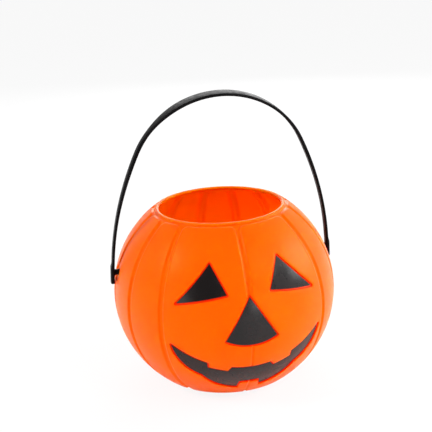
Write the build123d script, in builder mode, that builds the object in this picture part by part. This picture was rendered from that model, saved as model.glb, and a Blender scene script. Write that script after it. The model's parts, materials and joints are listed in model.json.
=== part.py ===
from build123d import *
from math import cos, radians, sin, sqrt
import os

os.makedirs("parts", exist_ok=True)

# Pumpkin candy pail: a hollow lobed moulding with a sunk, painted face and a strap handle that swings on two
# pegs. Lengths are millimetres and angles are degrees. The origin is the middle of the base, +Z is up and the
# face looks along -Y. The side of the pail follows an oval that the base and the mouth cut off.

# Body of the pail
body_diameter = 150.0
body_height = 119.0
oval_height = 144.8
oval_centre_height = 60.0
wall_thickness = 1.5
foot_edge_radius = 3.0
base_recess_diameter = 62.0
base_recess_depth = 1.5

# Lobes and the grooves between them. Angles along the side are elevations seen from the oval's middle.
lobe_rise = 1.1
lobe_foot_angle = -51.0
lobe_top_angle = 49.5
lobe_corner_radius = 4.5
lobe_edge_chamfer = 0.7
groove_width = 3.4
groove_step_angle = 22.5
groove_steps = 16
steps_without_full_groove = (0, 1, 15)
crease_width = 1.2
crease_depth = 0.5

# Collar and rim
collar_foot_height = 115.0
rim_diameter = 86.6
rim_width = 2.3
rim_edge_radius = 0.7

# Eyes, placed by their inner corners and the height of their outer corners. Left and right are the viewer's.
eye_spacing = 25.6
eye_foot_height = 75.7
eye_width = 32.5
eye_height = 25.2
eye_corner_shares = ((0.0, 0.24), (1.0, 0.0), (0.25, 1.0))

# Nose
nose_foot_height = 53.0
nose_width = 34.4
nose_height = 28.4
nose_sag = 4.3

# Mouth
mouth_width = 97.6
mouth_corner_height = 50.8
upper_lip_height = 32.6
lower_lip_height = 11.6
chin_shares = (0.62, 0.37)
cheek_shares = (0.885, 0.65)
upper_tooth_spacing = 25.4
upper_tooth_width = 14.1
upper_tooth_drop = 3.7
upper_tooth_foot_shares = (0.16, 0.96)
lower_tooth_width = 14.2
lower_tooth_rise = 6.3
lower_tooth_top_share = 0.85
face_corner_radius = 0.9

# Paint in the sunk face
paint_thickness = 0.2
paint_margin = 0.7

# Handle, measured from its pivot in the plane of its arch
pivot_height = 80.2
handle_lean = 6.3
handle_rise = 116.0
handle_span = 149.2
crown_radius = 59.7
crown_half_angle = 64.6
strap_thickness = 1.5
leg_width = 5.6
grip_width = 11.8
leg_straight_rise = 92.0
grip_foot_rise = 112.0
pad_thickness = 2.6
pad_rise = 11.0
pad_drop = 7.5
strap_edge_radius = 0.45

# Pegs of the handle, their snap heads and the round seats that they pass through
peg_diameter = 5.0
peg_clearance = 0.1
peg_seat_diameter = 11.0
snap_head_diameter = 7.4
snap_head_length = 2.6
snap_head_clearance = 0.4
snap_tip_share = 0.6

# Cuts run past the faces that they open by this much
overrun = 2.0

oval_radius = body_diameter / 2
oval_half_height = oval_height / 2
rim_radius = rim_diameter / 2
mouth_half_width = mouth_width / 2
peg_radius = peg_diameter / 2
snap_head_radius = snap_head_diameter / 2
groove_angles = [
    step * groove_step_angle for step in range(groove_steps) if step not in steps_without_full_groove
]


def side_radius(height, inset):
    """Radius of the oval side at a height, drawn in by the inset."""
    climb = (height - oval_centre_height) / (oval_half_height - inset)
    return (oval_radius - inset) * sqrt(1 - climb**2)


def side_ray(angle):
    """A point well outside the pail, at an elevation seen from the oval's middle."""
    return (body_diameter * cos(radians(angle)), oval_centre_height + body_diameter * sin(radians(angle)))


def upper_lip(x):
    """Height of the upper lip's arc at a distance from the middle of the face."""
    rise = mouth_corner_height - upper_lip_height
    radius = (mouth_half_width**2 + rise**2) / (2 * rise)
    return upper_lip_height + radius - sqrt(radius**2 - x**2)


# Outlines of the face, drawn flat with x across and y up
with BuildSketch() as right_eye:
    with BuildLine():
        Polyline(
            [
                (eye_spacing / 2 + across * eye_width, eye_foot_height + up * eye_height)
                for across, up in eye_corner_shares
            ],
            close=True,
        )
    make_face()
    fillet(right_eye.vertices(), radius=face_corner_radius)

with BuildSketch() as left_eye:
    mirror(right_eye.sketch, about=Plane.YZ)

with BuildSketch() as nose:
    nose_corner = Vector(nose_width / 2, nose_foot_height)
    with BuildLine():
        nose_side = Line(nose_corner, (0, nose_foot_height + nose_height))
        mirror(nose_side, about=Plane.YZ)
        ThreePointArc(nose_corner, (0, nose_foot_height - nose_sag), (-nose_corner.X, nose_corner.Y))
    make_face()
    fillet(nose.vertices(), radius=face_corner_radius)

with BuildSketch() as mouth:
    mouth_depth = mouth_corner_height - lower_lip_height
    corner = Vector(mouth_half_width, mouth_corner_height)
    cheek = Vector(cheek_shares[0] * mouth_half_width, lower_lip_height + cheek_shares[1] * mouth_depth)
    chin = Vector(chin_shares[0] * mouth_half_width, lower_lip_height + chin_shares[1] * mouth_depth)
    with BuildLine():
        right_cheek = ThreePointArc(corner, cheek, chin)
        mirror(right_cheek, about=Plane.YZ)
        ThreePointArc(chin, (0, lower_lip_height), (-chin.X, chin.Y))
        ThreePointArc(corner, (0, upper_lip_height), (-corner.X, corner.Y))
    make_face()
    fillet(mouth.vertices().group_by(Axis.Y)[-1], radius=face_corner_radius)
    with BuildLine():
        inner = upper_tooth_spacing / 2
        outer = inner + upper_tooth_width
        foot = [inner + share * upper_tooth_width for share in upper_tooth_foot_shares]
        Polyline(
            (inner, upper_lip(inner) + overrun),
            (inner, upper_lip(inner)),
            (foot[0], upper_lip(foot[0]) - upper_tooth_drop),
            (foot[1], upper_lip(foot[1]) - upper_tooth_drop),
            (outer, upper_lip(outer)),
            (outer, upper_lip(outer) + overrun),
            close=True,
        )
    right_tooth = make_face(mode=Mode.SUBTRACT)
    mirror(right_tooth, about=Plane.YZ, mode=Mode.SUBTRACT)
    with BuildLine():
        tooth_base = lower_tooth_width / 2
        tooth_top = tooth_base * lower_tooth_top_share
        Polyline(
            (tooth_base, lower_lip_height - overrun),
            (tooth_base, lower_lip_height),
            (tooth_top, lower_lip_height + lower_tooth_rise),
            (-tooth_top, lower_lip_height + lower_tooth_rise),
            (-tooth_base, lower_lip_height),
            (-tooth_base, lower_lip_height - overrun),
            close=True,
        )
    make_face(mode=Mode.SUBTRACT)

face_outlines = {"left_eye": left_eye, "right_eye": right_eye, "nose": nose, "mouth": mouth}


def oval_ring(outer_inset, inner_inset):
    """Draws the space between two ovals that are drawn in from the lobes' oval."""
    with Locations((0, oval_centre_height)):
        Ellipse(oval_radius - outer_inset, oval_half_height - outer_inset, rotation=180)
        Ellipse(
            oval_radius - inner_inset, oval_half_height - inner_inset, rotation=180, mode=Mode.SUBTRACT
        )


def lobed_form(inset):
    """The pumpkin's outside as a solid, or its hollow when drawn in by the wall."""
    level = inset + lobe_rise
    groove = groove_width + 2 * inset

    # Lobes, as pieces of a ring with rounded corners, with the face and the peg seats sunk in them
    with BuildPart() as lobes:
        with BuildSketch(Plane.XZ):
            oval_ring(inset, level + overrun)
            with BuildLine():
                Polyline(
                    (0, oval_centre_height),
                    side_ray(lobe_foot_angle),
                    side_ray(0),
                    side_ray(lobe_top_angle),
                    close=True,
                )
            make_face(mode=Mode.INTERSECT)
        revolve(axis=Axis.Z)
        with Locations([Location((0, 0, 0), (0, 0, angle)) for angle in groove_angles]):
            Box(
                groove,
                oval_radius,
                oval_height,
                align=(Align.CENTER, Align.MAX, Align.MIN),
                mode=Mode.SUBTRACT,
            )
        with BuildSketch(Plane.XZ):
            with Locations((0, nose_foot_height)):
                Circle(groove / 2)
                Rectangle(groove, oval_height, align=(Align.CENTER, Align.MIN))
        extrude(amount=oval_radius, mode=Mode.SUBTRACT)
        ends = lobes.faces().filter_by(GeomType.CONE)
        fillet(ends.edges().filter_by(GeomType.CIRCLE, reverse=True), radius=lobe_corner_radius)
        if not inset:
            crowns = lobes.faces().filter_by(
                lambda face: face.distance_to(Vertex(0, 0, oval_centre_height)) > oval_half_height - level
            )
            chamfer(crowns.edges(), length=lobe_edge_chamfer)
        with BuildSketch(Plane.XZ):
            for outline in face_outlines.values():
                add(outline.sketch)
            if inset:
                offset(amount=inset)
        extrude(amount=oval_radius, mode=Mode.SUBTRACT)
        with BuildSketch(Plane.YZ):
            with Locations((0, pivot_height)):
                Circle(peg_seat_diameter / 2 + inset)
        extrude(amount=oval_radius, both=True, mode=Mode.SUBTRACT)

    # Plain body at the level of the grooves, with its collar and its sunk base
    with BuildPart() as form:
        with BuildSketch(Plane.XZ):
            with Locations((0, oval_centre_height)):
                Ellipse(oval_radius - level, oval_half_height - level, rotation=180)
            with Locations((0, inset)):
                Rectangle(
                    oval_radius,
                    collar_foot_height - inset,
                    align=(Align.MIN, Align.MIN),
                    mode=Mode.INTERSECT,
                )
                Rectangle(
                    base_recess_diameter / 2 + inset,
                    base_recess_depth,
                    align=(Align.MIN, Align.MIN),
                    mode=Mode.SUBTRACT,
                )
            with BuildLine():
                mouth_radius = rim_radius - (rim_width if inset else 0)
                Polyline(
                    (0, collar_foot_height),
                    (side_radius(collar_foot_height, level), collar_foot_height),
                    (mouth_radius, body_height),
                    (0, body_height),
                    close=True,
                )
            make_face()
        revolve(axis=Axis.Z)
        foot_edge = form.edges().filter_by(GeomType.CIRCLE).group_by(Axis.Z)[0].sort_by(SortBy.LENGTH)[-1]
        fillet(foot_edge, radius=foot_edge_radius)
        add(lobes.part)
    return form.part


# Shallow line down the middle of the chin
with BuildPart() as chin_crease:
    with BuildSketch(Plane.XZ):
        oval_ring(-overrun, crease_depth)
        with BuildLine():
            Polyline((0, oval_centre_height), side_ray(-90), side_ray(0), close=True)
        make_face(mode=Mode.INTERSECT)
    revolve(axis=Axis.Z)
    Box(
        crease_width,
        body_diameter,
        oval_height,
        align=(Align.CENTER, Align.MAX, Align.CENTER),
        mode=Mode.INTERSECT,
    )

with BuildPart() as pail_shell:
    add(lobed_form(0))
    add(chin_crease.part, mode=Mode.SUBTRACT)
    add(lobed_form(wall_thickness), mode=Mode.SUBTRACT)
    with BuildSketch(Plane.YZ):
        with Locations((0, pivot_height)):
            Circle(peg_radius + peg_clearance)
    extrude(amount=oval_radius, both=True, mode=Mode.SUBTRACT)
    rim_edges = pail_shell.edges().filter_by(GeomType.CIRCLE).group_by(Axis.Z)[-1]
    fillet(rim_edges, radius=rim_edge_radius)

pail_shell.part.label = "pail_shell"
export_step(pail_shell.part, "parts/pail_shell.step")

# Paint films, lying on the floor of the sunk face. The layer is turned from the middle of the face, so that an
# edge runs down the middle of each film that crosses it.
front_plane = Plane(origin=(0, 0, 0), x_dir=(0, -1, 0), z_dir=(-1, 0, 0))

with BuildPart() as paint_layer:
    with BuildSketch(front_plane):
        oval_ring(lobe_rise - paint_thickness, lobe_rise)
        with Locations((0, oval_centre_height)):
            Rectangle(oval_radius, oval_height, align=(Align.MIN, Align.CENTER), mode=Mode.INTERSECT)
    revolve(axis=Axis.Z)

for name, outline in face_outlines.items():
    with BuildPart() as paint:
        with BuildSketch(Plane.XZ):
            add(outline.sketch)
            offset(amount=-paint_margin)
        extrude(amount=oval_radius)
        add(paint_layer.part, mode=Mode.INTERSECT)
    paint.part.label = name + "_paint"
    export_step(paint.part, "parts/" + name + "_paint.step")

# Handle, drawn in the leaning plane of its arch: x across the pail, y up from the pivot
upright_plane = Plane(origin=(0, 0, pivot_height), x_dir=(1, 0, 0), z_dir=(0, -1, 0))
arch_plane = upright_plane.rotated((handle_lean, 0, 0))
width_plane = Plane(origin=arch_plane.origin, x_dir=arch_plane.z_dir, z_dir=-arch_plane.x_dir)
peg_axis = Axis(arch_plane.origin, arch_plane.x_dir)

with BuildPart() as handle:
    with BuildSketch(arch_plane):
        with BuildLine():
            crown = CenterArc(
                (0, handle_rise - crown_radius), crown_radius, 90 - crown_half_angle, 2 * crown_half_angle
            )
            right_leg = TangentArc(crown @ 0, (handle_span / 2, 0), tangent=-(crown % 0))
            left_leg = TangentArc(crown @ 1, (-handle_span / 2, 0), tangent=crown % 1)
            for leg in (right_leg, left_leg):
                PolarLine(leg @ 1, pad_drop, direction=leg % 1)
        trace(line_width=strap_thickness)
        with BuildLine():
            for leg, side in ((right_leg, 1), (left_leg, -1)):
                outward = (leg % 1).rotate(Axis.Z, side * 90) * ((pad_thickness - strap_thickness) / 2)
                middle = leg @ 1 + outward
                Line(middle + (leg % 1) * pad_drop, middle - (leg % 1) * pad_rise)
        trace(line_width=pad_thickness)
    extrude(amount=grip_width / 2, both=True)
    with BuildSketch(width_plane):
        with BuildLine():
            end_height = leg_width / 2 - pad_drop
            top_height = handle_rise + strap_thickness
            side_line = Line((leg_width / 2, end_height), (leg_width / 2, leg_straight_rise))
            taper = Spline(side_line @ 1, (grip_width / 2, grip_foot_rise), tangents=((0, 1), (0, 1)))
            top_line = Line(taper @ 1, (grip_width / 2, top_height))
            for line in (side_line, taper, top_line):
                mirror(line, about=Plane.YZ)
            Line(top_line @ 1, (-grip_width / 2, top_height))
            ThreePointArc((-leg_width / 2, end_height), (0, -pad_drop), (leg_width / 2, end_height))
        make_face()
    extrude(amount=handle_span, both=True, mode=Mode.INTERSECT)
    fillet(handle.edges(), radius=strap_edge_radius)
    with BuildSketch(arch_plane):
        wall_inside = side_radius(pivot_height + snap_head_radius, lobe_rise + wall_thickness)
        head_face = wall_inside - snap_head_clearance
        head_tip = head_face - snap_head_length
        with BuildLine():
            Polyline(
                (handle_span / 2, 0),
                (handle_span / 2, peg_radius),
                (head_face, peg_radius),
                (head_face, snap_head_radius),
                (head_tip, snap_head_radius * snap_tip_share),
                (head_tip, 0),
                close=True,
            )
        peg_profile = make_face()
        mirror(peg_profile, about=Plane.YZ)
    revolve(axis=peg_axis)

handle.part.label = "handle"
export_step(handle.part, "parts/handle.step")
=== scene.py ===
"""The looks of the pumpkin candy pail: fine shapes, materials, floor, light and camera, in metres."""
import bmesh
import bpy
import json
import numpy as np
from math import cos, pi, radians, sin
from mathutils import Matrix, Vector
from mathutils.geometry import delaunay_2d_cdt


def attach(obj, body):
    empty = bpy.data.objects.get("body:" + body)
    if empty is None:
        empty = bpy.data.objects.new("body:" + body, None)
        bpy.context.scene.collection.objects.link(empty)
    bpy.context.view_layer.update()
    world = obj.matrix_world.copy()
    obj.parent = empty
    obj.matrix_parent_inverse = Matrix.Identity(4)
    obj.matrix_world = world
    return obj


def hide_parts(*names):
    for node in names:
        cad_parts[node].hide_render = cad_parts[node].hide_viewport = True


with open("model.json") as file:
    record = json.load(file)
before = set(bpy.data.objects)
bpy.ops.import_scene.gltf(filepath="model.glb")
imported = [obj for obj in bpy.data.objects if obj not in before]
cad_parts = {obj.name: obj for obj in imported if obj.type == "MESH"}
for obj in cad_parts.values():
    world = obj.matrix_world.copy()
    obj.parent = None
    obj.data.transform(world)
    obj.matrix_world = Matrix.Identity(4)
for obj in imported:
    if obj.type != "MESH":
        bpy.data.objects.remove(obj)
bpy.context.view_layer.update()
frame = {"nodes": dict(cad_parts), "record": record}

mm = 0.001

# The oval body, its wall and its base
oval_centre_height = 60.0 * mm
belly_radius = 75.0 * mm
oval_half_height = 72.4 * mm
mean_radius = (belly_radius + oval_half_height) / 2
wall_thickness = 1.5 * mm
foot_angle = radians(-55.5)
foot_edge_inset = 0.1 * mm
foot_edge_rise = 0.15 * mm
foot_ring_inset = 0.9 * mm
base_recess_radius = 31.0 * mm
base_recess_depth = 1.5 * mm

# Softened edges of the base, each as a run and a rise
recess_edge = (0.5 * mm, 0.4 * mm)
recess_bend = (0.4 * mm, 0.3 * mm)
floor_bend = (0.5 * mm, 0.3 * mm)

# The lobes, and the grooves between them
lobe_rise = 1.1 * mm
lobe_foot_angle = radians(-51.0)
lobe_top_angle = radians(52.9)
lobe_foot_shift = 0.5 * mm
lobe_top_shift = 1.5 * mm
lobe_corner_radius = 3.4 * mm
lobe_edge = (-1.1 * mm, 0.7 * mm)
groove_width = 3.4 * mm
groove_turns = [radians(22.5 * step) for step in range(-8, 9) if abs(step) != 1]
groove_reach = pi / 4
crease_width = 1.1 * mm
crease_depth = 1.05 * mm

# The collar and the rim
collar_foot_height = 117.6 * mm
collar_outside_shares = (0.3, 0.6, 0.8)
collar_inside_shares = (0.75, 0.5, 0.25)
body_height = 119.3 * mm
rim_radius = 43.3 * mm
rim_width = 2.3 * mm
rim_edge_radius = 1.1 * mm
rim_outside_turns = np.linspace(0.1, 0.5, 5) * pi
rim_inside_turns = np.linspace(0.5, 0.9, 5) * pi

# The seats of the pegs
pivot_height = 80.2 * mm
peg_seat_radius = 5.5 * mm
peg_hole_radius = 2.0 * mm
hole_ring_gap = 0.8 * mm
seat_reach = pi / 4

# The sunk face
face_reach = pi / 3
eye_spacing = 25.6 * mm
eye_foot_height = 75.7 * mm
eye_width = 32.5 * mm
eye_height = 25.2 * mm
eye_corner_shares = ((0.0, 0.24), (1.0, 0.0), (0.25, 1.0))
nose_foot_height = 53.0 * mm
nose_width = 34.4 * mm
nose_height = 28.4 * mm
nose_sag = 4.3 * mm
mouth_width = 97.6 * mm
mouth_corner_height = 50.8 * mm
upper_lip_height = 32.6 * mm
lower_lip_height = 11.6 * mm
chin_shares = (0.62, 0.37)
cheek_shares = (0.885, 0.65)
upper_tooth_spacing = 25.4 * mm
upper_tooth_width = 14.1 * mm
upper_tooth_drop = 3.7 * mm
upper_tooth_foot_shares = (0.16, 0.96)
lower_tooth_width = 14.2 * mm
lower_tooth_rise = 6.3 * mm
lower_tooth_top_share = 0.85
face_corner_radius = 0.9 * mm
tooth_corner_radius = 0.35 * mm
chin_radius = 2.0 * mm

# The lines and rows of points that make up the shell's skin
recess_steps = [step * mm for step in (-0.15, 0.02, 0.19, 0.36, 0.53, 0.7)]
groove_lines = [step * mm for step in (0.7, 1.2, 1.55, 1.9, 2.25, 2.65, 3.3, 4.2, 5.4)]
end_rows = [step * mm for step in (-0.9, -0.5, -0.1, 0.3, 0.7, 1.1, 1.6, 2.3, 3.2, 4.4)]
foot_rows = 5
row_step = 2.2 * mm
column_step = 2.2 * mm
outline_step = 0.36 * mm
clear_outside = 0.45 * mm
clear_inside = 0.5 * mm
contour_tolerance = 0.03 * mm
triangle_tolerance = 1e-6
side_points = 160
corner_points = 7
seat_points = 60
distance_batch = 500
shell_merge_distance = 0.01 * mm
shell_sliver_length = 0.001 * mm

# The handle, measured from its pivot in the plane of its arch
handle_lean = radians(6.3)
handle_rise = 116.0 * mm
handle_span = 149.2 * mm
crown_radius = 59.7 * mm
crown_half_angle = radians(64.6)
strap_thickness = 1.5 * mm
strap_corner_radius = 0.8 * mm
leg_width = 5.6 * mm
leg_straight_rise = 92.0 * mm
grip_width = 10.2 * mm
grip_foot_rise = 112.0 * mm
strap_fill_inside = 0.45 * mm
strap_fill_outside = 0.3 * mm
fill_inside_rises = (30.0 * mm, 75.0 * mm)
fill_outside_rises = (105.0 * mm, 80.0 * mm)
pad_thickness = 2.55 * mm
pad_start_rise = 6.9 * mm
pad_full_rise = 3.5 * mm
pad_drop = 8.5 * mm
pad_tip_radius = 1.2 * mm
pad_corner_radius = 1.1 * mm
peg_radius = 1.9 * mm
peg_flare = 0.5 * mm
snap_head_radius = 3.7 * mm
snap_head_length = 2.6 * mm
snap_head_clearance = 0.4 * mm
snap_tip_share = 0.62
snap_tip_swell = 0.1 * mm
snap_bevel = 0.2 * mm

# The rings of points that make up the handle's skin
strap_step = 1.1 * mm
strap_tip_step = 0.12 * mm
strap_corner_limit = 0.98
tip_least_square = 0.01
corner_steps = 4
peg_points = 40
handle_merge_distance = 0.005 * mm
sharp_edge_angle = radians(40)

# Where the shell's material changes to that of the inside: depths in the wall, and heights
inside_depths = (1.25 * mm, 1.45 * mm)
inside_rim_heights = (118.5 * mm, 116.0 * mm)
inside_floor_heights = (5.0 * mm, 12.0 * mm)

# Colours
white = (1, 1, 1, 1)
floor_white = (0.88, 0.88, 0.88, 1)
deep_orange = (0.98, 0.106, 0.0002, 1)
light_orange = (0.99, 0.122, 0.0004, 1)
mottle_orange = (1.0, 0.14, 0.001, 1)
# Painted light: the inside is a lighter orange than the outside, for light coming through the wall
inside_painted_light_orange = (0.99, 0.185, 0.001, 1)
# Painted shade: the deep red of the sunk face's edges and walls
sunk_edge_painted_shade_red = (0.9, 0.012, 0.0004, 1)
orange_sheen = (1.0, 0.8, 0.1, 1)
paint_dark = (0.003, 0.0012, 0.0012, 1)
paint_light = (0.008, 0.004, 0.004, 1)
strap_dark = (0.003, 0.0027, 0.003, 1)
strap_light = (0.006, 0.0055, 0.006, 1)
strap_scuffed = (0.018, 0.017, 0.018, 1)

# How far red, green and blue light spreads under the surface, as shares of a scale
outside_spread = (1.0, 0.14, 0.04, 1)
inside_spread = (1.0, 0.42, 0.03, 1)
outside_spread_scale = 3.0 * mm
inside_spread_scale = 12.0 * mm

# The camera, which looks at the middle of the pail
camera_azimuth = radians(-12.13)
camera_elevation = radians(17.58)
camera_roll = radians(-3.04)
camera_distance = 0.6
camera_lens = 72.63
camera_sensor_width = 36
camera_aim_height = 0.0596
camera_pan = (0.00546, -0.04842)

# The floor, and the light of the sky from its dark side to its bright side
floor_size = 40
floor_glow_share = 0.88
sky_bright_way = (0.45, 0.73, -0.51)
sky_sides = (-0.9, 0.9)
sky_low = 0.38
sky_high = 0.95

# The lamps: place, width and power, all aimed at one point
lamp_aim = (0, 0, 0.06)
lamps = {
    "right": ((1.08, -0.16, 0.48), 0.6, 10.5),
    "left": ((-0.92, -0.12, 0.8), 0.3, 6.8),
    "low_left": ((-1.2, -0.5, 0.1), 0.9, 4.2),
    "back": ((0.3, 0.95, 0.62), 1.0, 8.0),
    "front": ((0.5, -1.05, 0.1), 0.5, 3.2),
    "key": ((0.63, -0.77, 0.81), 0.5, 4.2),
}


class Shader:
    """One material, built node by node."""

    def __init__(self, name):
        self.material = bpy.data.materials.new(name)
        self.material.use_nodes = True
        self.tree = self.material.node_tree
        self.surface = self.tree.nodes["Principled BSDF"]
        self.place = self.add("ShaderNodeTexCoord").outputs["Object"]

    def feed(self, socket, value):
        """Gives a socket a link or a plain value."""
        if isinstance(value, bpy.types.NodeSocket):
            self.tree.links.new(value, socket)
        else:
            socket.default_value = value

    def add(self, kind, sockets=None, **settings):
        made = self.tree.nodes.new(kind)
        for name, value in settings.items():
            setattr(made, name, value)
        for name, value in (sockets or {}).items():
            self.feed(made.inputs[name], value)
        return made

    def math(self, operation, *terms):
        made = self.add("ShaderNodeMath", operation=operation)
        for socket, value in zip(made.inputs, terms):
            self.feed(socket, value)
        return made.outputs[0]

    def span(self, value, low, high, start=0.0, end=1.0):
        """Smooth change from start to end as the value goes from low to high."""
        made = self.add("ShaderNodeMapRange", interpolation_type="SMOOTHSTEP")
        for socket, given in zip(made.inputs, (value, low, high, start, end)):
            self.feed(socket, given)
        return made.outputs[0]

    def blend(self, share, first, second):
        """The first colour, with a share of the second."""
        made = self.add("ShaderNodeMix", data_type="RGBA")
        for socket, given in zip((made.inputs[0], made.inputs[6], made.inputs[7]), (share, first, second)):
            self.feed(socket, given)
        return made.outputs[2]

    def noise(self, scale, detail=2.0, roughness=0.5):
        sockets = {"Vector": self.place, "Scale": scale, "Detail": detail, "Roughness": roughness}
        return self.add("ShaderNodeTexNoise", sockets).outputs["Fac"]

    def bump(self, height, distance, strength, under=None):
        sockets = {"Height": height, "Distance": distance, "Strength": strength}
        if under:
            sockets["Normal"] = under
        return self.add("ShaderNodeBump", sockets).outputs[0]

    def set(self, **sockets):
        for name, value in sockets.items():
            self.feed(self.surface.inputs[name.replace("_", " ")], value)


def inside_mask(shader):
    """One on the inside of the shell's wall, between the floor and the rim, and zero elsewhere."""
    ground = shader.add("ShaderNodeVectorMath", {0: shader.place, 1: (1, 1, 0)}, operation="MULTIPLY").outputs[0]
    radius = shader.add("ShaderNodeVectorMath", {0: ground}, operation="LENGTH").outputs["Value"]
    height = shader.add("ShaderNodeSeparateXYZ", {0: shader.place}).outputs[2]
    across = shader.math("DIVIDE", radius, belly_radius)
    along = shader.math("DIVIDE", shader.math("SUBTRACT", height, oval_centre_height), oval_half_height)
    squares = [shader.math("POWER", share, 2.0) for share in (across, along)]
    reach = shader.math("SQRT", shader.math("ADD", *squares))
    depth = shader.math("MULTIPLY", shader.math("SUBTRACT", 1.0, reach), mean_radius)
    below_rim = shader.span(height, *inside_rim_heights)
    above_floor = shader.span(height, *inside_floor_heights)
    between = shader.math("MULTIPLY", below_rim, above_floor)
    return shader.math("MULTIPLY", shader.span(depth, *inside_depths), between)


def orange_plastic():
    """Thin translucent plastic: mottled orange, with painted red shade along the sunk edges and a painted lighter
    orange on the inside, with a light that spreads in the wall.
    """
    shader = Shader("orange_plastic")
    inside = inside_mask(shader)
    sunk = shader.add("ShaderNodeAttribute", attribute_name="sunk").outputs["Fac"]
    cloud = shader.noise(scale=22.0, detail=3.0)
    mottle = shader.noise(scale=420.0, detail=3.0, roughness=0.6)
    wave = shader.noise(scale=55.0, detail=1.0)
    peel = shader.noise(scale=1500.0, detail=2.0)
    colour = shader.blend(shader.span(cloud, low=0.3, high=0.7), deep_orange, light_orange)
    colour = shader.blend(shader.span(mottle, low=0.35, high=0.75, start=0.0, end=0.2), colour, mottle_orange)
    # Painted light: the inside of the wall is a lighter orange, standing in for light coming through the wall
    colour = shader.blend(inside, colour, inside_painted_light_orange)
    # Painted shade: the sunk face turns deep red, which shows as a red line around the black paint
    colour = shader.blend(shader.span(sunk, low=0.1, high=0.6, start=0.0, end=0.95), colour, sunk_edge_painted_shade_red)
    normal = shader.bump(wave, distance=0.6 * mm, strength=0.2)
    normal = shader.bump(peel, distance=0.04 * mm, strength=0.2, under=normal)
    roughness = shader.span(mottle, low=0.3, high=0.7, start=0.32, end=0.4)
    spread_scale = shader.span(inside, 0, 1, start=outside_spread_scale, end=inside_spread_scale)
    shader.set(Base_Color=colour, Roughness=roughness, Normal=normal)
    shader.set(Subsurface_Weight=1.0, Subsurface_Radius=shader.blend(inside, outside_spread, inside_spread))
    shader.set(Subsurface_Scale=spread_scale)
    shader.set(Specular_IOR_Level=0.13, Specular_Tint=orange_sheen)
    return shader.material


def black_paint():
    """Half-glossy black paint, a little uneven."""
    shader = Shader("black_paint")
    cloud = shader.noise(scale=70.0, detail=3.0, roughness=0.6)
    grain = shader.noise(scale=1800.0, detail=2.0)
    wave = shader.noise(scale=120.0, detail=2.0)
    colour = shader.blend(shader.span(cloud, low=0.35, high=0.7), paint_dark, paint_light)
    normal = shader.bump(wave, distance=0.4 * mm, strength=0.25)
    normal = shader.bump(grain, distance=0.04 * mm, strength=0.35, under=normal)
    roughness = shader.span(cloud, low=0.3, high=0.7, start=0.2, end=0.32)
    shader.set(Base_Color=colour, Roughness=roughness, Normal=normal)
    shader.set(Specular_IOR_Level=0.32)
    return shader.material


def black_plastic():
    """Dull black plastic with fine scuffs."""
    shader = Shader("black_plastic")
    cloud = shader.noise(scale=60.0, detail=3.0)
    grain = shader.noise(scale=1400.0, detail=3.0, roughness=0.6)
    scuff = shader.noise(scale=260.0, detail=5.0, roughness=0.75)
    colour = shader.blend(shader.span(cloud, low=0.35, high=0.7), strap_dark, strap_light)
    colour = shader.blend(shader.span(scuff, low=0.62, high=0.75, start=0.0, end=0.5), colour, strap_scuffed)
    normal = shader.bump(grain, distance=0.08 * mm, strength=0.4)
    roughness = shader.span(scuff, low=0.4, high=0.7, start=0.36, end=0.52)
    shader.set(Base_Color=colour, Roughness=roughness, Normal=normal)
    shader.set(Specular_IOR_Level=0.04)
    return shader.material


looks = {"orange_plastic": orange_plastic(), "black_paint": black_paint(), "black_plastic": black_plastic()}
for part in frame["record"]["subparts"]:
    node = frame["nodes"][part["node"]]
    for slot in node.material_slots:
        slot.material = looks[part["material_slot"]]


def put(name, data):
    """A new object in the scene."""
    made = bpy.data.objects.new(name, data)
    bpy.context.scene.collection.objects.link(made)
    return made


def smooth(value, start, end):
    """From 0 at the start to 1 at the end, with soft ends."""
    share = np.clip((value - start) / (end - start), 0, 1)
    return share * share * (3 - 2 * share)


def side_radius(height, depth):
    """Radius of the oval at a height, drawn in by the depth."""
    climb = (height - oval_centre_height) / (oval_half_height - depth)
    return (belly_radius - depth) * np.sqrt(1 - climb**2)


def oval_reach(angle, depth):
    """Distance from the oval's middle to its side at an elevation angle, drawn in by the depth."""
    across = np.cos(angle) / (belly_radius - depth)
    along = np.sin(angle) / (oval_half_height - depth)
    return 1 / np.hypot(across, along)


def seen_flat(turn, angle, way):
    """Places on the oval as seen along the front, or along one of the sides: across and up."""
    reach = oval_reach(angle, 0)
    across = reach * np.cos(angle) * np.sin(turn - way)
    return np.column_stack((across, oval_centre_height + reach * np.sin(angle)))


def path_lengths(path):
    """The length of a path up to each of its points."""
    return np.r_[0, np.cumsum(np.linalg.norm(np.diff(path, axis=0), axis=1))]


def stretch(start, end, via):
    """Points along a straight side, or along the arc through a point of it."""
    start, end = np.array(start), np.array(end)
    if via is None:
        return start + np.linspace(0, 1, side_points)[:, None] * (end - start)
    via = np.array(via)
    rows = 2 * np.array((via - start, end - start))
    middle = np.linalg.solve(rows, (via @ via - start @ start, end @ end - start @ start))
    turns = np.unwrap([np.arctan2(*(point - middle)[::-1]) for point in (start, via, end)])
    turn = np.linspace(turns[0], turns[2], side_points)
    return middle + np.linalg.norm(start - middle) * np.column_stack((np.cos(turn), np.sin(turn)))


def trim(side, length):
    """Takes a length off the start of a side."""
    gone = path_lengths(side)
    start = [np.interp(length, gone, side[:, axis]) for axis in (0, 1)]
    return np.vstack((start, side[gone > length]))


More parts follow.
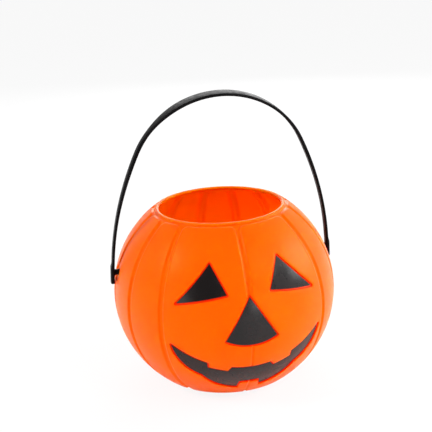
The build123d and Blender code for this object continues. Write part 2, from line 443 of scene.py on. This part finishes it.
def closed_outline(corners):
    """An evenly divided outline from corners, each with its radius and the point that its next side goes through."""
    sides = []
    for here, there in zip(corners, corners[1:] + corners[:1]):
        sides.append(stretch(here[0], there[0], here[2]))
    for index, (corner, radius, _) in enumerate(corners):
        before, after = sides[index - 1][::-1], sides[index]
        lean = [(side[1] - side[0]) / np.linalg.norm(side[1] - side[0]) for side in (before, after)]
        cut = radius / np.tan(np.arccos(lean[0] @ lean[1]) / 2)
        before, after = trim(before, cut), trim(after, cut)
        share = np.linspace(0, 1, corner_points)[1:-1, None]
        bend = (1 - share)**2 * before[0] + 2 * share * (1 - share) * np.array(corner) + share**2 * after[0]
        sides[index - 1] = np.vstack((before[::-1], bend))
        sides[index] = after
    path = np.vstack(sides)
    path = np.vstack((path, path[:1]))
    gone = path_lengths(path)
    places = np.linspace(0, gone[-1], round(gone[-1] / outline_step), endpoint=False)
    return np.column_stack([np.interp(places, gone, path[:, axis]) for axis in (0, 1)])


def signed_distance(points, outline):
    """Distance from each point to an outline, negative inside it."""
    result = np.empty(len(points))
    ends = np.roll(outline, -1, axis=0)
    along = ends - outline
    square = (along**2).sum(axis=1)
    rise = np.where(along[:, 1] == 0, 1, along[:, 1])
    for first in range(0, len(points), distance_batch):
        some = points[first:first + distance_batch, None, :]
        share = np.clip(((some - outline) * along).sum(axis=2) / square, 0, 1)
        gap = np.linalg.norm(some - outline - share[:, :, None] * along, axis=2).min(axis=1)
        spans = (outline[:, 1] > some[:, :, 1]) != (ends[:, 1] > some[:, :, 1])
        crossing = outline[:, 0] + (some[:, :, 1] - outline[:, 1]) / rise * along[:, 0]
        inside = (spans & (some[:, :, 0] < crossing)).sum(axis=1) % 2 == 1
        result[first:first + distance_batch] = np.where(inside, -gap, gap)
    return result


def contours(outline, steps):
    """Lines at set distances from an outline, without the points that other parts of it come nearer to."""
    along = np.roll(outline, -1, axis=0) - np.roll(outline, 1, axis=0)
    outward = np.column_stack((along[:, 1], -along[:, 0])) / np.linalg.norm(along, axis=1)[:, None]
    area = (outline[:, 0] * along[:, 1]).sum()
    found = []
    for step in steps:
        line = outline + np.sign(area) * step * outward
        found.append(line[np.abs(signed_distance(line, outline) - step) < contour_tolerance])
    return np.vstack(found)


def face_outlines():
    """The eyes, nose and mouth, flat, with x across and the second number up."""
    eye = [(eye_spacing / 2 + across * eye_width, eye_foot_height + up * eye_height)
           for across, up in eye_corner_shares]
    right_eye = closed_outline([(corner, face_corner_radius, None) for corner in eye])
    left_eye = right_eye * (-1, 1)
    nose_corner = (nose_width / 2, nose_foot_height)
    nose = closed_outline([
        (nose_corner, face_corner_radius, None),
        ((0, nose_foot_height + nose_height), face_corner_radius, None),
        ((-nose_corner[0], nose_corner[1]), face_corner_radius, (0, nose_foot_height - nose_sag)),
    ])
    return [right_eye, left_eye, nose, mouth_outline()]


def mouth_outline():
    """The grin, with two teeth above and one below."""
    half = mouth_width / 2
    depth = mouth_corner_height - lower_lip_height
    chin = np.array((chin_shares[0] * half, lower_lip_height + chin_shares[1] * depth))
    cheek = (cheek_shares[0] * half, lower_lip_height + cheek_shares[1] * depth)
    corner = (half, mouth_corner_height)

    def lip(x, middle, end):
        """A point of the arc from the middle of a lip to its end."""
        rise = end[1] - middle
        radius = (end[0]**2 + rise**2) / (2 * rise)
        return (x, middle + radius - np.sqrt(radius**2 - x**2))

    def upper(x, drop=0.0):
        return (x, lip(x, upper_lip_height, corner)[1] - drop)

    def lower(x):
        return lip(x, lower_lip_height, chin)

    tooth_top = (lower_tooth_width / 2 * lower_tooth_top_share, lower_lip_height + lower_tooth_rise)
    inner = upper_tooth_spacing / 2
    outer = inner + upper_tooth_width
    feet = [inner + share * upper_tooth_width for share in upper_tooth_foot_shares]
    right = [
        (tooth_top, tooth_corner_radius, None),
        (lower(lower_tooth_width / 2), tooth_corner_radius, lower((lower_tooth_width / 2 + chin[0]) / 2)),
        (tuple(chin), chin_radius, cheek),
        (corner, face_corner_radius, upper((half + outer) / 2)),
        (upper(outer), tooth_corner_radius, None),
        (upper(feet[1], upper_tooth_drop), tooth_corner_radius, None),
        (upper(feet[0], upper_tooth_drop), tooth_corner_radius, None),
        (upper(inner), tooth_corner_radius, upper(0)),
    ]
    left = []
    for index in range(len(right) - 1, -1, -1):
        via = right[index - 1][2] if index else None
        (x, y), radius, _ = right[index]
        left.append(((-x, y), radius, via and (-via[0], via[1])))
    return closed_outline(right + left)


def seat_circle(radius):
    """A circle around the pivot, seen along the side."""
    turn = np.linspace(0, 2 * pi, seat_points, endpoint=False)
    return np.column_stack((np.cos(turn), np.sin(turn))) * radius + (0, pivot_height)


def lobe_margin(turn, angle):
    """Distance into a lobe from its edge, with the lobe's corners rounded."""
    radius = oval_reach(angle, 0) * np.cos(angle)
    height = oval_centre_height + oval_reach(angle, 0) * np.sin(angle)
    side = np.full(np.shape(turn), belly_radius)
    for groove in groove_turns:
        apart = (turn - groove + pi) % (2 * pi) - pi
        gap = radius * np.abs(np.sin(apart)) - groove_width / 2
        here = np.abs(apart) < groove_reach
        if groove == 0:
            here &= height > nose_foot_height
        side = np.where(here, np.minimum(side, gap), side)
    top_end = (lobe_top_angle - angle) * belly_radius - lobe_top_shift
    foot_end = (angle - lobe_foot_angle) * belly_radius - lobe_foot_shift
    end = np.minimum(top_end, foot_end)
    across = np.clip(lobe_corner_radius - side, 0, None)
    along = np.clip(lobe_corner_radius - end, 0, None)
    rounded = lobe_corner_radius - np.hypot(across, along)
    return np.where((across > 0) & (along > 0), rounded, np.minimum(side, end))


def grid():
    """Turns and elevation angles over the side of the pail, in lines along the grooves and rows across them."""
    low = lobe_foot_angle + (np.array(end_rows) + lobe_foot_shift) / belly_radius
    high = lobe_top_angle - (np.array(end_rows) + lobe_top_shift) / belly_radius
    plain = np.linspace(low[-1], high[-1], round((high[-1] - low[-1]) * belly_radius / row_step))
    foot = np.linspace(foot_angle, low[0], foot_rows)[:-1]
    rows = np.r_[foot, low[:-1], plain, high[:-1][::-1], lobe_top_angle]
    near = np.r_[-np.array(groove_lines[::-1]), 0, groove_lines]
    table = []
    for angle in rows:
        radius = oval_reach(angle, 0) * np.cos(angle)
        turns = []
        for here, there in zip(groove_turns, groove_turns[1:]):
            turns.extend(here + np.arcsin(near[near >= 0] / radius))
            edge = np.arcsin(near[-1] / radius)
            count = round((there - here) * belly_radius / column_step)
            turns.extend(np.linspace(here + edge, there - edge, count)[1:-1])
            turns.extend(there + np.arcsin(near[near < 0] / radius))
        turns.append(groove_turns[-1])
        table.append(turns)
    return np.array(table), rows


def lay_out(face_lines):
    """The skin's points as turns and angles, its triangles, and its lowest and highest rows of points.

    Points of the grid that crowd a sunk edge make way for lines that follow the edge.
    """
    turns, rows = grid()
    shape = turns.shape
    angles = np.repeat(rows[:, None], shape[1], axis=1).ravel()
    turns = turns.ravel()
    keep = np.ones(len(turns), bool)
    extra_turns, extra_angles = [], []
    seat = seat_circle(peg_seat_radius)
    hole_lines = [seat_circle(peg_hole_radius), seat_circle(peg_hole_radius + hole_ring_gap)]
    for way, outlines in ((0, face_lines), (pi / 2, [seat]), (-pi / 2, [seat])):
        ahead = np.abs(turns - way) < face_reach
        for outline in outlines:
            lines = [contours(outline, recess_steps)]
            gap = signed_distance(seen_flat(turns[ahead], angles[ahead], way), outline)
            clear = gap > recess_steps[-1] + clear_outside
            if way:
                lines += hole_lines
            else:
                clear |= gap < recess_steps[0] - clear_inside
            keep[ahead] &= clear
            lines = np.vstack(lines)
            radius = side_radius(lines[:, 1], 0)
            extra_turns.append(way + np.arcsin(lines[:, 0] / radius))
            extra_angles.append(np.arctan2(lines[:, 1] - oval_centre_height, radius))
    edge_rows = np.zeros(shape, bool)
    edge_rows[[0, -1]] = True
    keep |= edge_rows.ravel()
    source = np.full(len(turns), -1)
    source[keep] = np.arange(keep.sum())
    source = source.reshape(shape)
    turns = np.r_[turns[keep], np.concatenate(extra_turns)]
    angles = np.r_[angles[keep], np.concatenate(extra_angles)]
    plane = np.column_stack((turns, angles)) * belly_radius / mm
    found = delaunay_2d_cdt([Vector(point) for point in plane], [], [], 0, triangle_tolerance)
    triangles, merged = found[2], found[3]
    number = np.zeros(len(turns), int)
    for place, names in enumerate(merged):
        number[names] = place
    order = np.array([names[0] for names in merged])
    return turns[order], angles[order], triangles, number[source[0]], number[source[-1]]


def shell_mesh():
    """The shell as one closed skin, with soft edges on its lobes and on the sunk face."""
    face_lines = face_outlines()
    turns, angles, triangles, low_row, high_row = lay_out(face_lines)
    count = len(turns)
    front = seen_flat(turns, angles, 0)

    # How far each point lies from the edge of the face, of a peg seat and of a lobe
    face_gap = np.full(count, belly_radius)
    ahead = np.abs(turns) < face_reach
    for outline in face_lines:
        face_gap[ahead] = np.minimum(face_gap[ahead], signed_distance(front[ahead], outline))
    seat_gap = np.full(count, belly_radius)
    for way in (pi / 2, -pi / 2):
        beside = np.abs(turns - way) < seat_reach
        away = seen_flat(turns[beside], angles[beside], way) - (0, pivot_height)
        seat_gap[beside] = np.hypot(*away.T) - peg_seat_radius
    gap = np.minimum(face_gap, seat_gap)
    margin = lobe_margin(turns, angles)

    # How far each point lies below the lobes, on both sides of the wall
    first, last = recess_steps[0], recess_steps[-1]
    sunk = 1 - smooth(gap, first, last)
    groove = 1 - smooth(margin, *lobe_edge)
    below_middle = (angles < 0) * (np.abs(turns) < pi / 2)
    crease = crease_depth * (1 - smooth(np.abs(front[:, 0]), 0, crease_width)) * below_middle
    depth = np.maximum(lobe_rise * np.maximum(sunk, groove), crease)
    inner_sunk = 1 - smooth(gap, first, last + wall_thickness)
    inner_groove = 1 - smooth(margin, lobe_edge[0], lobe_edge[1] + wall_thickness)
    inner_depth = wall_thickness + lobe_rise * np.maximum(inner_sunk, inner_groove)

    def around(radius, turn, height):
        return np.column_stack((radius * np.sin(turn), -radius * np.cos(turn), np.broadcast_to(height, turn.shape)))

    def oval_points(depth):
        reach = oval_reach(angles, depth)
        return around(reach * np.cos(angles), turns, oval_centre_height + reach * np.sin(angles))

    # The sunk face goes straight back from its outline
    outside = oval_points(depth)
    cut = face_gap < last
    radius = side_radius(front[cut, 1], depth[cut])
    outside[cut] = np.column_stack((front[cut, 0], -np.sqrt(radius**2 - front[cut, 0]**2), front[cut, 1]))
    points = [outside, oval_points(inner_depth)]

    # Both sides of the wall, and the walls of the peg holes between them
    hollow = seat_gap + peg_seat_radius < peg_hole_radius + contour_tolerance
    triangles = [list(face) for face in triangles if not hollow[list(face)].all()]
    skins = triangles + [[corner + count for corner in face[::-1]] for face in triangles]
    edges = {(a, b): True for face in triangles for a, b in zip(face, face[1:] + face[:1])}
    for a, b in edges:
        if (b, a) not in edges and hollow[a] and hollow[b]:
            skins.append([b, a, a + count, b + count])

    # The rim and the foot, which join both sides of the wall
    total = 2 * count
    for row, profile, turned in ((high_row, rim_profile(), False), (low_row, foot_profile(), True)):
        lines = [row]
        for radius, height in profile:
            points.append(around(radius, turns[row], height))
            lines.append(np.arange(total, total + len(row)))
            total += len(row)
        lines.append(row + count)
        for one, two in zip(lines, lines[1:]):
            for a, b, c, d in zip(one, one[1:], two[1:], two):
                skins.append([a, d, c, b] if turned else [a, b, c, d])

    mesh = bpy.data.meshes.new("pail_skin")
    mesh.from_pydata(np.vstack(points).tolist(), [], skins)
    # How far into the sunk face each point lies, for the painted red shade in the shader
    face_share = np.zeros(total)
    face_share[:count] = 1 - smooth(face_gap, first, last)
    mesh.attributes.new("sunk", "FLOAT", "POINT").data.foreach_set("value", face_share)
    work = bmesh.new()
    work.from_mesh(mesh)
    bmesh.ops.remove_doubles(work, verts=work.verts, dist=shell_merge_distance)
    bmesh.ops.dissolve_degenerate(work, edges=work.edges, dist=shell_sliver_length)
    for face in work.faces:
        face.smooth = True
    work.to_mesh(mesh)
    work.free()
    return mesh


def rim_profile():
    """The collar, the rim and the inside of the collar, from the outside in."""
    low, high = collar_foot_height, body_height
    outer_foot = side_radius(low, lobe_rise)
    inner_foot = side_radius(low, lobe_rise + wall_thickness)
    outer_top, inner_top = rim_radius, rim_radius - rim_width

    def climb(foot, top, shares):
        return [(foot + share * (top - foot), low + share * (high - low)) for share in shares]

    points = climb(outer_foot, outer_top, collar_outside_shares)
    for turn in rim_outside_turns:
        points.append((outer_top - rim_edge_radius * (1 - np.cos(turn)), high - rim_edge_radius * (1 - np.sin(turn))))
    for turn in rim_inside_turns:
        points.append((inner_top + rim_edge_radius * (1 + np.cos(turn)), high - rim_edge_radius * (1 - np.sin(turn))))
    return points + climb(inner_foot, inner_top, collar_inside_shares)


def foot_profile():
    """The foot, the sunk base and the floor inside, from the outside in."""
    foot = side_radius(0.0, lobe_rise)
    recess, step = base_recess_radius, base_recess_radius + wall_thickness
    under, above = base_recess_depth, base_recess_depth + wall_thickness
    return [
        (foot - foot_edge_inset, foot_edge_rise),
        (foot - foot_ring_inset, 0.0),
        (recess + recess_edge[0], 0.0),
        (recess, recess_edge[1]),
        (recess, under - recess_bend[1]),
        (recess - recess_bend[0], under),
        (0.0, under),
        (0.0, above),
        (step - recess_edge[0], above),
        (step, above - recess_edge[1]),
        (step, wall_thickness + floor_bend[1]),
        (step + floor_bend[0], wall_thickness),
    ]


def shell():
    made = put("shell", shell_mesh())
    made.data.materials.append(looks["orange_plastic"])
    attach(made, "pail")
    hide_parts("pail_shell")


def handle_path():
    """Half of the strap's middle line, from the top down to the end of the pad: places and ways along it."""
    middle_rise = handle_rise - crown_radius
    turn = np.linspace(0, crown_half_angle, round(crown_half_angle * crown_radius / strap_step))
    crown = np.column_stack((np.sin(turn), np.cos(turn))) * crown_radius + (0, middle_rise)
    crown_way = np.column_stack((np.cos(turn), -np.sin(turn)))
    foot = np.array((handle_span / 2, 0))
    reach = foot - crown[-1]
    inward = np.array((-np.sin(crown_half_angle), -np.cos(crown_half_angle)))
    leg_radius = reach @ reach / (2 * reach @ inward)
    centre = crown[-1] + leg_radius * inward
    sweep = 2 * np.arcsin(np.linalg.norm(reach) / (2 * leg_radius))
    turn = crown_half_angle + np.linspace(0, sweep, round(sweep * leg_radius / strap_step))[1:]
    leg = centre + leg_radius * np.column_stack((np.sin(turn), np.cos(turn)))
    leg_way = np.column_stack((np.cos(turn), -np.sin(turn)))
    round_end = pad_drop - leg_width / 2
    down = np.r_[np.arange(strap_step, round_end, strap_step / 2), np.arange(round_end, pad_drop, strap_tip_step)]
    pad = leg[-1] + down[:, None] * leg_way[-1]
    pad_way = np.repeat(leg_way[-1:], len(down), axis=0)
    return np.vstack((crown, leg, pad)), np.vstack((crown_way, leg_way, pad_way))


def strap_cut(rise, end_slope):
    """The strap at a rise: the two sides of its thickness, half its width and the radius of its corners."""
    wide = smooth(rise, leg_straight_rise, grip_foot_rise)
    half = leg_width / 2 + wide * (grip_width - leg_width) / 2
    swell = smooth(rise, pad_start_rise, pad_full_rise)
    low = -strap_thickness / 2 - smooth(rise, *fill_inside_rises) * strap_fill_inside
    high = strap_thickness / 2 + smooth(rise, *fill_outside_rises) * (1 - swell) * strap_fill_outside
    high += swell * (pad_thickness - strap_thickness)
    corner = strap_corner_radius + swell * (pad_corner_radius - strap_corner_radius)
    left = pad_drop + rise / end_slope
    if left < leg_width / 2:
        back = leg_width / 2 - left
        half = max(np.sqrt(max((leg_width / 2)**2 - back**2, 0)), strap_tip_step)
    if left < pad_tip_radius:
        share = np.sqrt(max(1 - (1 - left / pad_tip_radius)**2, tip_least_square))
        middle, reach = (low + high) / 2, share * (high - low) / 2
        low, high = middle - reach, middle + reach
    return low, high, half, corner


def strap_ring(low, high, half, radius):
    """The outline of the strap's cut, a box with round corners, as thickness and width."""
    radius = min(radius, strap_corner_limit * (high - low) / 2, strap_corner_limit * half)
    turn = np.linspace(0, pi / 2, corner_steps + 1)
    points = []
    for quarter, (n, w) in enumerate(((high, half), (low, half), (low, -half), (high, -half))):
        middle = (n - radius if n == high else n + radius, w - radius if w > 0 else w + radius)
        for angle in turn + quarter * pi / 2:
            points.append((middle[0] + radius * np.cos(angle), middle[1] + radius * np.sin(angle)))
    return points


def peg_profile():
    """A peg and its snap head, as distances from the middle of the pail and radii, from the strap inwards."""
    root = handle_span / 2
    strap_face = root - strap_thickness / 2
    head_face = side_radius(pivot_height + snap_head_radius, lobe_rise + wall_thickness) - snap_head_clearance
    head_tip = head_face - snap_head_length
    tip_radius = snap_head_radius * snap_tip_share
    shares = np.sin(np.linspace(0, pi / 2, corner_steps + 1))
    return [
        (root, 0.0),
        (root, peg_radius + peg_flare),
        (strap_face, peg_radius + peg_flare),
        *((strap_face - peg_flare * share, peg_radius + peg_flare * (1 - share)) for share in shares),
        (head_face, peg_radius),
        (head_face, snap_head_radius - snap_bevel),
        (head_face - snap_bevel, snap_head_radius),
        (head_tip + snap_bevel, tip_radius + snap_tip_swell),
        (head_tip, tip_radius - snap_bevel),
        (head_tip, 0.0),
    ]


def tube(starts, size):
    """Faces between rings of points that follow each other, from the number of each ring's first point."""
    quads = []
    for one, two in zip(starts, starts[1:]):
        for step in range(size):
            after = (step + 1) % size
            quads.append([one + step, one + after, two + after, two + step])
    return quads


def handle_mesh():
    """The strap with its thicker end pads, and the pegs with their snap heads."""
    half_line, half_way = handle_path()
    line = np.vstack((half_line[:0:-1] * (-1, 1), half_line))
    way = np.vstack((half_way[:0:-1] * (1, -1), half_way))
    end_slope = abs(half_way[-1][1])
    points, starts = [], []
    for place, along in zip(line, way):
        outward = np.array((-along[1], along[0]))
        starts.append(len(points))
        for n, w in strap_ring(*strap_cut(place[1], end_slope)):
            points.append((*(place + n * outward), w))
    size = 4 * (corner_steps + 1)
    faces = tube(starts, size)
    faces.append([starts[0] + step for step in range(size)][::-1])
    faces.append([starts[-1] + step for step in range(size)])

    turns = np.linspace(0, 2 * pi, peg_points, endpoint=False)
    for side in (1, -1):
        starts = []
        for x, radius in peg_profile():
            starts.append(len(points))
            points.extend((side * x, radius * np.cos(turn), radius * np.sin(turn)) for turn in turns)
        quads = tube(starts, peg_points)
        faces += quads if side > 0 else [quad[::-1] for quad in quads]

    lean_sin, lean_cos = sin(handle_lean), cos(handle_lean)
    lean = np.array(((1, 0, 0), (0, -lean_sin, -lean_cos), (0, lean_cos, -lean_sin)))
    mesh = bpy.data.meshes.new("handle_skin")
    mesh.from_pydata((np.array(points) @ lean.T + (0, 0, pivot_height)).tolist(), [], faces)
    work = bmesh.new()
    work.from_mesh(mesh)
    bmesh.ops.remove_doubles(work, verts=work.verts, dist=handle_merge_distance)
    bmesh.ops.recalc_face_normals(work, faces=work.faces)
    for face in work.faces:
        face.smooth = True
    for edge in work.edges:
        if len(edge.link_faces) == 2 and edge.calc_face_angle() > sharp_edge_angle:
            edge.smooth = False
    work.to_mesh(mesh)
    work.free()
    return mesh


def handle():
    made = put("strap_handle", handle_mesh())
    made.data.materials.append(looks["black_plastic"])
    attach(made, "handle")
    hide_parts("handle")


def floor():
    """A pale floor, white to the camera but for the object's shadow."""
    bpy.ops.mesh.primitive_plane_add(size=floor_size)
    plane = bpy.context.object
    plane.name = "floor"
    shader = Shader("floor")
    grain = shader.noise(scale=300.0)
    shader.set(Base_Color=floor_white, Roughness=0.9, Normal=shader.bump(grain, distance=0.2 * mm, strength=0.1))
    seen = shader.add("ShaderNodeLightPath").outputs["Is Camera Ray"]
    share = shader.math("MULTIPLY", seen, floor_glow_share)
    glow = shader.add("ShaderNodeEmission", {"Color": white, "Strength": 1.0}).outputs[0]
    mix = shader.add("ShaderNodeMixShader", {0: share, 1: shader.surface.outputs[0], 2: glow})
    shader.tree.links.new(mix.outputs[0], shader.tree.nodes["Material Output"].inputs["Surface"])
    plane.data.materials.append(shader.material)


def sky():
    """Soft white surroundings, brighter behind the pail and to its right, and plain white to the camera."""
    world = bpy.data.worlds.new("sky")
    bpy.context.scene.world = world
    world.use_nodes = True
    tree = world.node_tree
    ray = tree.nodes.new("ShaderNodeTexCoord")
    facing = tree.nodes.new("ShaderNodeVectorMath")
    facing.operation = "DOT_PRODUCT"
    facing.inputs[1].default_value = sky_bright_way
    level = tree.nodes.new("ShaderNodeMapRange")
    level.interpolation_type = "SMOOTHSTEP"
    for socket, value in zip(level.inputs[1:5], (*sky_sides, sky_low, sky_high)):
        socket.default_value = value
    light = tree.nodes["Background"]
    light.inputs["Color"].default_value = white
    backdrop = tree.nodes.new("ShaderNodeBackground")
    backdrop.inputs["Color"].default_value = white
    path = tree.nodes.new("ShaderNodeLightPath")
    mix = tree.nodes.new("ShaderNodeMixShader")
    tree.links.new(ray.outputs["Generated"], facing.inputs[0])
    tree.links.new(facing.outputs["Value"], level.inputs[0])
    tree.links.new(level.outputs[0], light.inputs["Strength"])
    tree.links.new(path.outputs["Is Camera Ray"], mix.inputs[0])
    tree.links.new(light.outputs[0], mix.inputs[1])
    tree.links.new(backdrop.outputs[0], mix.inputs[2])
    tree.links.new(mix.outputs[0], tree.nodes["World Output"].inputs["Surface"])


def lamp(name, place, width, power):
    data = bpy.data.lights.new(name, "AREA")
    data.shape = "DISK"
    data.size = width
    data.energy = power
    made = put(name, data)
    made.location = place
    made.rotation_euler = (Vector(lamp_aim) - Vector(place)).to_track_quat("-Z", "Y").to_euler()


def camera():
    level = cos(camera_elevation)
    back = Vector((sin(camera_azimuth) * level, -cos(camera_azimuth) * level, sin(camera_elevation)))
    level_right = Vector((cos(camera_azimuth), sin(camera_azimuth), 0))
    level_up = back.cross(level_right)
    right = cos(camera_roll) * level_right + sin(camera_roll) * level_up
    up = back.cross(right)
    spot = Vector((0, 0, camera_aim_height)) + camera_distance * back - camera_pan[0] * right - camera_pan[1] * up
    data = bpy.data.cameras.new("camera")
    data.lens = camera_lens
    data.sensor_width = camera_sensor_width
    made = put("camera", data)
    made.matrix_world = Matrix((right, up, back)).transposed().to_4x4()
    made.location = spot
    bpy.context.scene.camera = made


shell()
handle()
floor()
sky()
for name, (place, width, power) in lamps.items():
    lamp(name, place, width, power)
camera()
bpy.context.scene.view_settings.view_transform = "Standard"
